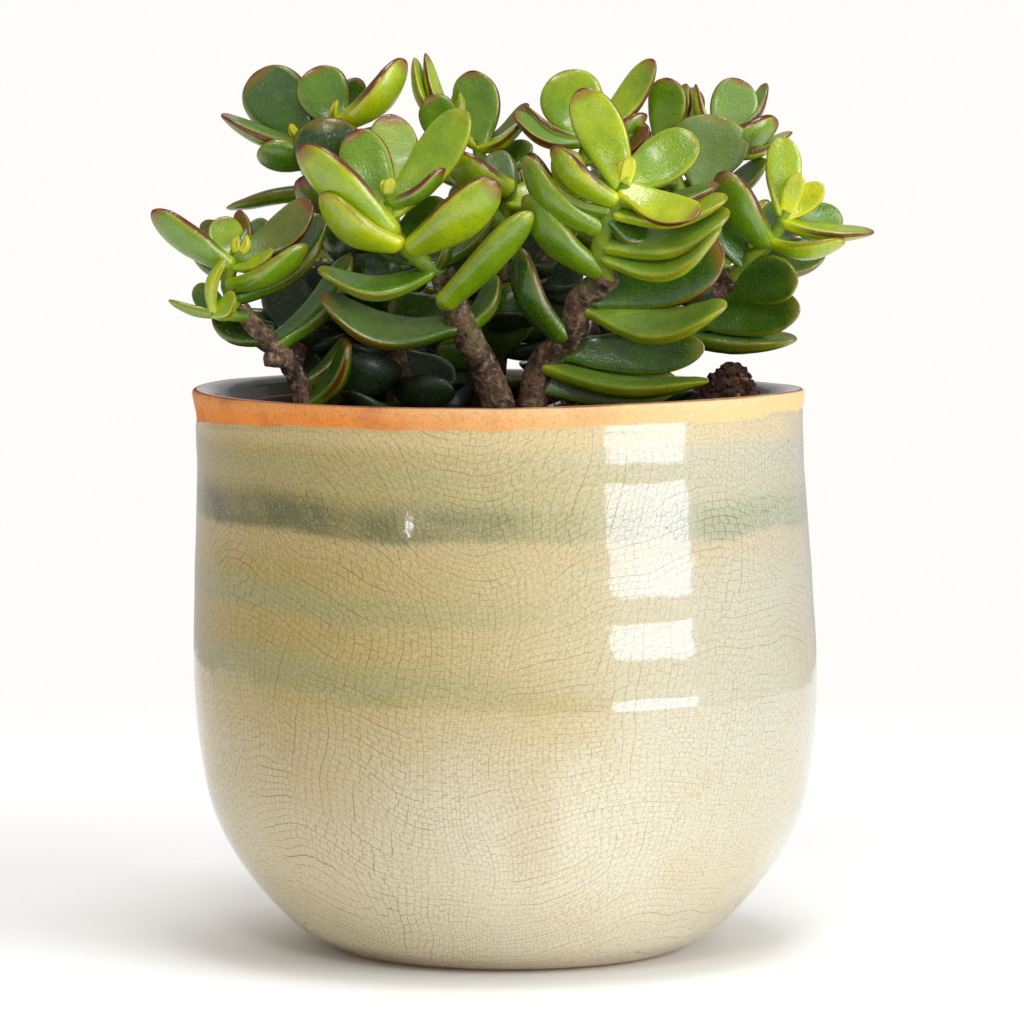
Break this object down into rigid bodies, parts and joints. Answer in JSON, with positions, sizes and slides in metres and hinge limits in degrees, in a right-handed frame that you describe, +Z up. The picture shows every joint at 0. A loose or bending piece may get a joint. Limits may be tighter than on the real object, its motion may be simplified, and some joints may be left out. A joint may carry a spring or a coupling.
{
  "type": "potted jade plant",
  "caption": "Small-leaved jade plant with thick rounded leaves on woody stems, in a plastic grow pot inside a rounded, crackle-glazed ceramic cover pot with a bare clay rim.",
  "frame": {"origin": "centre of the cover pot's flat foot, on the surface that it stands on", "axes": "+Z up through the pot and the plant, +Y towards the plant's back, +X to its right as seen from the front"},
  "size_m": [0.1619, 0.1408, 0.2025],
  "materials": {
    "glaze": "gloss",
    "grow_pot_plastic": "satin",
    "compost": "matte",
    "bark": "matte",
    "shoot": "satin",
    "old_leaf": "satin"
  },
  "bodies": {
    "root": {"pot": "glaze", "nursery_pot": "grow_pot_plastic", "soil": "compost", "stem_back_centre": "bark", "stem_back_left": "bark", "stem_back_right": "bark", "stem_centre_left": "bark", "stem_centre_right": "bark", "stem_left": "bark", "stem_right": "bark", "stem_upper_left": "bark", "head_back_left": "shoot", "head_back_left_low": "shoot", "head_back_middle": "shoot", "head_back_right": "shoot", "head_back_right_low": "shoot", "head_back_top": "shoot", "head_back_upper_left": "shoot", "head_back_upper_right": "shoot", "head_centre": "shoot", "head_front_left": "shoot", "head_front_right": "shoot", "head_left_low": "shoot", "head_left_side": "shoot", "head_right": "shoot", "head_top_centre": "shoot", "head_top_right": "shoot", "head_top_right_centre": "shoot", "head_upper_left": "shoot", "leaf_back_1": "old_leaf", "leaf_back_2": "old_leaf", "leaf_back_3": "old_leaf", "leaf_back_centre_1": "old_leaf", "leaf_back_centre_2": "old_leaf", "leaf_back_centre_3": "old_leaf", "leaf_back_centre_4": "old_leaf", "leaf_centre_left_1": "old_leaf", "leaf_centre_left_2": "old_leaf", "leaf_centre_left_3": "old_leaf", "leaf_centre_left_4": "old_leaf", "leaf_centre_right_1": "old_leaf", "leaf_centre_right_2": "old_leaf", "leaf_centre_right_3": "old_leaf", "leaf_centre_right_4": "old_leaf", "leaf_centre_right_5": "old_leaf", "leaf_centre_right_6": "old_leaf", "leaf_left_1": "old_leaf", "leaf_left_2": "old_leaf", "leaf_left_3": "old_leaf", "leaf_left_4": "old_leaf", "leaf_right_1": "old_leaf", "leaf_right_2": "old_leaf", "leaf_right_3": "old_leaf", "leaf_right_4": "old_leaf", "leaf_right_5": "old_leaf", "leaf_upper_left_1": "old_leaf", "leaf_upper_left_2": "old_leaf", "leaf_upper_left_3": "old_leaf", "leaf_upper_left_4": "old_leaf"}
  },
  "joints": []
}
